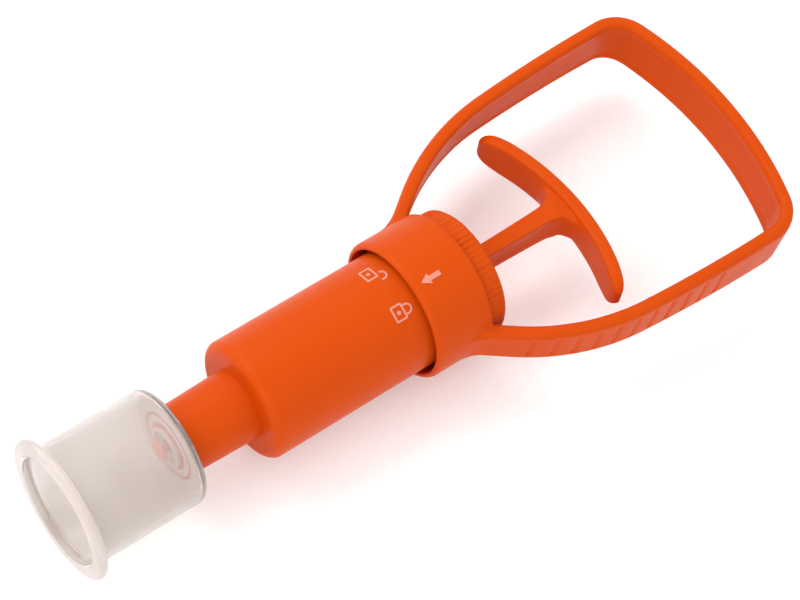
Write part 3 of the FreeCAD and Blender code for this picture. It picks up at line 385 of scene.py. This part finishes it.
def make_clear_cup():
    """The cup with its rolled lip, rounded shoulder, ringed end wall and hollow neck."""
    neck_end, lip = (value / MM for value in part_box("suction_cup")[1][:2])
    inner = CUP_RADIUS - CUP_WALL
    floor = CUP_LENGTH - CUP_END_WALL
    built = turned([
        (0, inner), (0, lip), (LIP_THICKNESS, lip), (LIP_THICKNESS, CUP_RADIUS),
        (CUP_LENGTH, CUP_RADIUS), (CUP_LENGTH, NECK_RADIUS), (neck_end, NECK_RADIUS),
        (neck_end, NECK_BORE), (CUP_LENGTH, NECK_BORE), (CUP_LENGTH, VENT_RADIUS),
        (floor, VENT_RADIUS), (floor, BOSS_BORE), (floor - BOSS_HEIGHT, BOSS_BORE),
        (floor - BOSS_HEIGHT, BOSS_RADIUS), (floor, BOSS_RADIUS), (floor, inner),
    ], 144)
    round_ring(built, CUP_LENGTH, CUP_RADIUS, CUP_SHOULDER, 8)
    round_ring(built, floor, inner, CUP_SHOULDER - CUP_WALL)
    round_ring(built, LIP_THICKNESS, CUP_RADIUS, LIP_BLEND)
    round_ring(built, 0, lip, LIP_THICKNESS * 0.46)
    round_ring(built, LIP_THICKNESS, lip, LIP_THICKNESS * 0.46)
    round_ring(built, 0, inner, 1.1)
    round_ring(built, neck_end, NECK_RADIUS, 0.8, 4)
    round_ring(built, neck_end, NECK_BORE, 0.4, 3)
    round_ring(built, CUP_LENGTH, NECK_RADIUS, 0.8, 4)
    for radius in (BOSS_BORE, BOSS_RADIUS):
        round_ring(built, floor - BOSS_HEIGHT, radius, 0.5, 4)
        round_ring(built, floor, radius, 0.5, 4)
    # the end wall's faces take the milk with the painted show-through rings, and the lip's outer faces take
    # the lip milk
    for face in built.faces:
        centre = face.calc_center_median()
        on_end = (floor - BOSS_HEIGHT - 0.1) * MM < centre.x < (CUP_LENGTH + 0.1) * MM
        if on_end and centre.yz.length < (inner - CUP_SHOULDER) * MM:
            face.material_index = 1
        elif centre.x < LIP_THICKNESS * MM and centre.yz.length > CUP_RADIUS * MM:
            face.material_index = 2
    cup = finish_piece(built, "clear_cup", [CLEAR, END_WALL_MILK_PAINTED_SHOW_THROUGH, LIP_MILK], "cup")
    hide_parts("suction_cup")


make_clear_cup()


# ---------------------------------------------------------------- plunger with its finger bar
BAR_CENTRE = 224.0
BAR_BOW = 92.0
BAR_THICKNESS = 5.3
BAR_HEIGHT = 16.0
BAR_HALF_SPAN = 41.5
ROD_WIDTH = 5.4
ROD_HEIGHT = 11.0
ROD_FOOT_WIDTH = 9.0
ROD_FOOT_END = 107.9
ROD_TAPER_START = 176.5
ROD_ROOT_WIDTH = 7.0
ROD_ROOT_HEIGHT = 12.4
FLARE_RADIUS = 8.0
PLUNGER_TURN = -5.0
ROW_HEIGHTS = (-0.5, -0.36, 0.36, 0.5)
END_KEEP = (0.4, 0.6)
NEXT_KEEP = (0.82, 0.95)
RECESS_MARGIN = 2.6
RECESS_SLOPE = 0.5
RECESS_DEPTH = 0.35
RECESS_CREASE = 0.35
ROD_CREASE = 0.6
BAR_CREASE = 0.22
SMOOTH_LEVELS = 3


def spin_section(built, section, pivot, angle, steps):
    """Sweeps a section about an upright axis at the pivot. Returns the section at the far end."""
    swept = bmesh.ops.spin(built, geom=section, cent=pivot, axis=(0, 0, 1), angle=angle,
                           steps=steps, use_merge=False)
    return swept["geom_last"]


def set_loop(verts, along, half_width, half_height):
    """Stretches an end loop square to the rod to a place along it and a half width and height."""
    wide = max(abs(vert.co.y) for vert in verts)
    tall = max(abs(vert.co.z) for vert in verts)
    for vert in verts:
        vert.co = (along * MM, vert.co.y / wide * half_width * MM, vert.co.z / tall * half_height * MM)


def make_finger_plunger():
    """The bowed finger bar and its I-section rod, one soft-edged moulding."""
    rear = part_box("plunger")[0][0] / MM
    pivot = ((BAR_CENTRE - BAR_BOW) * MM, 0, 0)
    inside = BAR_BOW - BAR_THICKNESS / 2
    tip = math.asin((BAR_HALF_SPAN - 0.4) / BAR_BOW)
    flare_y = ROD_ROOT_WIDTH / 2 + FLARE_RADIUS
    flare_x = BAR_CENTRE - BAR_BOW + math.sqrt((inside - FLARE_RADIUS) ** 2 - flare_y ** 2)
    touch = math.asin(flare_y / (inside - FLARE_RADIUS))
    middle = touch * 0.3
    built = bmesh.new()
    # the bar's section: three faces high, swept from one end to the other
    bmesh.ops.create_grid(built, x_segments=1, y_segments=3, size=0.5)
    for vert in built.verts:
        row = round((vert.co.y + 0.5) * 3)
        height = ROW_HEIGHTS[row] * BAR_HEIGHT
        vert.co = ((BAR_CENTRE + vert.co.x * BAR_THICKNESS) * MM, 0, height * MM)
    bmesh.ops.rotate(built, verts=built.verts, cent=pivot, matrix=Matrix.Rotation(-tip, 3, "Z"))
    section = built.verts[:] + built.edges[:] + built.faces[:]
    arm = tip - touch
    outward = ((touch - middle, 1), (arm * 0.75, 3), (arm * 0.15, 1), (arm * 0.1, 1))
    for angle, steps in (*reversed(outward), (middle * 2, 1), *outward):
        section = spin_section(built, section, pivot, angle, steps)
    bmesh.ops.remove_doubles(built, verts=built.verts, dist=1e-6)
    for vert in built.verts:
        spoke = (vert.co - Vector(pivot)).xy
        from_tip = tip - math.asin(abs(spoke.y) / spoke.length)
        keep_height, keep_width = (END_KEEP if from_tip < arm * 0.05 else
                                   NEXT_KEEP if from_tip < arm * 0.15 else (1.0, 1.0))
        vert.co.z *= keep_height
        vert.co.xy = Vector(pivot).xy + spoke.normalized() * (
            BAR_BOW * MM + (spoke.length - BAR_BOW * MM) * keep_width)
    bmesh.ops.recalc_face_normals(built, faces=built.faces)
    # the rod grows out of the middle of the bar's near face
    near = [face for face in built.faces if face.normal.x < -0.8
            and abs(face.calc_center_median().y) < math.sin(touch) * inside * MM
            and abs(face.calc_center_median().z) < 0.2 * BAR_HEIGHT * MM]
    half = ROD_WIDTH / 2
    stations = [
        (flare_x + FLARE_RADIUS * 0.62, ROD_ROOT_WIDTH / 2 + FLARE_RADIUS * 0.22, ROD_ROOT_HEIGHT / 2 + 0.5),
        (flare_x, ROD_ROOT_WIDTH / 2, ROD_ROOT_HEIGHT / 2),
        (flare_x - 4.0, ROD_ROOT_WIDTH / 2 - 0.1, ROD_ROOT_HEIGHT / 2 - 0.1),
        (ROD_TAPER_START, half, ROD_HEIGHT / 2), (ROD_FOOT_END + 2.0, half, ROD_HEIGHT / 2),
        (ROD_FOOT_END, half, ROD_HEIGHT / 2), (ROD_FOOT_END - 0.2, ROD_FOOT_WIDTH / 2, ROD_HEIGHT / 2),
        (rear, ROD_FOOT_WIDTH / 2, ROD_HEIGHT / 2),
    ]
    for along, wide, tall in stations:
        grown = bmesh.ops.extrude_face_region(built, geom=near)["geom"]
        bmesh.ops.delete(built, geom=near, context="FACES_ONLY")
        near = [item for item in grown if isinstance(item, bmesh.types.BMFace)]
        set_loop([item for item in grown if isinstance(item, bmesh.types.BMVert)], along, wide, tall)
    stray = [edge for edge in built.edges if not edge.link_faces]
    bmesh.ops.delete(built, geom=stray, context="EDGES")
    bmesh.ops.recalc_face_normals(built, faces=built.faces)
    # shallow recesses along both sides of the rod
    low, high = (ROD_FOOT_END + 2.0) * MM, flare_x * MM
    for side in (1, -1):
        wall = [face for face in built.faces if face.normal.y * side > 0.9
                and low - 1e-6 < min(vert.co.x for vert in face.verts)
                and max(vert.co.x for vert in face.verts) < high + 1e-6]
        for thickness, depth in ((RECESS_MARGIN, 0), (RECESS_SLOPE, -RECESS_DEPTH)):
            bmesh.ops.inset_region(built, faces=wall, thickness=thickness * MM, depth=depth * MM,
                                   use_even_offset=True)
    crease = built.edges.layers.float.new("crease_edge")
    bar_start = (flare_x + FLARE_RADIUS * 0.62) * MM
    for edge in built.edges:
        if len(edge.link_faces) != 2:
            continue
        turn = edge.calc_face_angle(0)
        reach = max(abs(vert.co.y) for vert in edge.verts)
        on_rod = max(vert.co.x for vert in edge.verts) < bar_start + 1e-6 and reach < 5.5 * MM
        in_recess = on_rod and reach < half * MM - 1e-6
        at_tip = min(abs(vert.co.y) for vert in edge.verts) > math.sin(tip) * BAR_BOW * 0.8 * MM
        in_flare = 5.5 * MM < reach < 16 * MM and abs(edge.verts[0].co.z - edge.verts[1].co.z) > 2 * MM
        if turn > math.radians(35) and not at_tip and not in_flare:
            edge[crease] = RECESS_CREASE if in_recess else ROD_CREASE if on_rod else BAR_CREASE
    bmesh.ops.rotate(built, verts=built.verts, cent=(0, 0, 0),
                     matrix=Matrix.Rotation(math.radians(PLUNGER_TURN), 3, "X"))
    plunger = finish_piece(built, "finger_plunger", [ORANGE], "plunger_rod", sharp=180)
    smooth = plunger.modifiers.new("smooth", "SUBSURF")
    smooth.levels = SMOOTH_LEVELS
    smooth.render_levels = SMOOTH_LEVELS
    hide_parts("plunger")


make_finger_plunger()


# ---------------------------------------------------------------- soft-edged mouldings
BAND_START = 170.0
BAND_END = 300.0
BAND_GROWTH = 0.44


def deepen_band(built):
    """Makes the handle's band deeper from the collar towards its end bar."""
    for vert in built.verts:
        share = (vert.co.x / MM - BAND_START) / (BAND_END - BAND_START)
        vert.co.z *= 1 + BAND_GROWTH * min(max(share, 0), 1)


def soften(node, body, name, grain, rounds, reshape=None):
    """A copy of a CAD node with its edges melted a little, as moulding leaves them."""
    built = bmesh.new()
    built.from_mesh(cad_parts[node].data)
    bmesh.ops.remove_doubles(built, verts=built.verts, dist=1e-6)
    if reshape:
        reshape(built)
    piece = finish_piece(built, name, [ORANGE], body, sharp=180)
    melt = piece.modifiers.new("melt", "REMESH")
    melt.mode = "VOXEL"
    melt.voxel_size = grain * MM
    melt.use_smooth_shade = True
    relax = piece.modifiers.new("relax", "SMOOTH")
    relax.factor = 0.5
    relax.iterations = rounds
    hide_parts(node)


soften("grip_frame", "grip", "soft_grip", 0.6, 3, deepen_band)
soften("end_cap", "grip", "soft_cap", 0.36, 7)


# ---------------------------------------------------------------- return spring
SPRING_RADIUS = 13.6
SPRING_WIRE = 0.7
SPRING_TURNS = 11
SPRING_FIXED_END = 170.78


def make_coil_spring():
    """Round-wire coil from the front of the piston head to its fixed end."""
    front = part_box("piston_head")[1][0] / MM
    length = SPRING_FIXED_END - front
    steps_a_turn = 36
    built = bmesh.new()
    bmesh.ops.create_circle(built, cap_ends=False, segments=12, radius=SPRING_WIRE * MM)
    bmesh.ops.translate(built, verts=built.verts,
                        vec=((front + SPRING_WIRE + 0.03) * MM, SPRING_RADIUS * MM, 0))
    advance = (length - SPRING_WIRE * 2 - 0.06) / (SPRING_TURNS * steps_a_turn)
    bmesh.ops.spin(built, geom=built.verts[:] + built.edges[:], cent=(0, 0, 0), axis=(1, 0, 0),
                   dvec=(advance * MM, 0, 0), angle=math.tau * SPRING_TURNS,
                   steps=SPRING_TURNS * steps_a_turn, use_merge=False)
    bmesh.ops.holes_fill(built, edges=[edge for edge in built.edges if edge.is_boundary], sides=0)
    bmesh.ops.recalc_face_normals(built, faces=built.faces)
    coil = finish_piece(built, "coil_spring", [STEEL], "grip", sharp=60)
    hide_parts("return_spring")
    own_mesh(coil)


make_coil_spring()


# ---------------------------------------------------------------- table, light
def make_stage():
    low = Vector(CAD_BOX[0])
    size = 6.0
    mesh = bpy.data.meshes.new("table")
    built = bmesh.new()
    bmesh.ops.create_grid(built, x_segments=1, y_segments=1, size=size)
    bmesh.ops.translate(built, verts=built.verts, vec=(0.15, 0, low.z - 0.0002))
    built.to_mesh(mesh)
    built.free()
    table = bpy.data.objects.new("table", mesh)
    bpy.context.collection.objects.link(table)
    shader = Shader("pale_table")
    grain = shader.node("TexNoise", Vector=shader.place, Scale=300.0, Detail=3.0)
    ramp = shader.node("ValToRGB", Fac=grain.outputs["Fac"])
    ramp.color_ramp.elements[0].color = srgb(246, 246, 246)
    ramp.color_ramp.elements[1].color = srgb(252, 252, 252)
    shader.link(ramp.outputs["Color"], shader.base.inputs["Base Color"])
    shader.set(Roughness=0.9)
    mesh.materials.append(shader.material)


def soft_light(name, place, aim, size, power):
    data = bpy.data.lights.new(name, "AREA")
    data.shape = "RECTANGLE"
    data.size, data.size_y = size
    data.energy = power
    lamp = bpy.data.objects.new(name, data)
    lamp.location = place
    lamp.rotation_mode = "QUATERNION"
    lamp.rotation_quaternion = (Vector(aim) - Vector(place)).to_track_quat("-Z", "Y")
    bpy.context.collection.objects.link(lamp)


def make_light():
    world = bpy.data.worlds.new("studio")
    bpy.context.scene.world = world
    world.use_nodes = True
    sky = world.node_tree.nodes["Background"]
    sky.inputs["Color"].default_value = (1, 1, 1, 1)
    sky.inputs["Strength"].default_value = 1.15
    centre = (0.15, 0, 0)
    soft_light("overhead", (-0.1, 0.75, 0.95), centre, (0.9, 0.6), 7)
    soft_light("front_fill", (-0.7, -0.5, 0.6), centre, (0.6, 0.6), 3)


make_stage()
make_light()
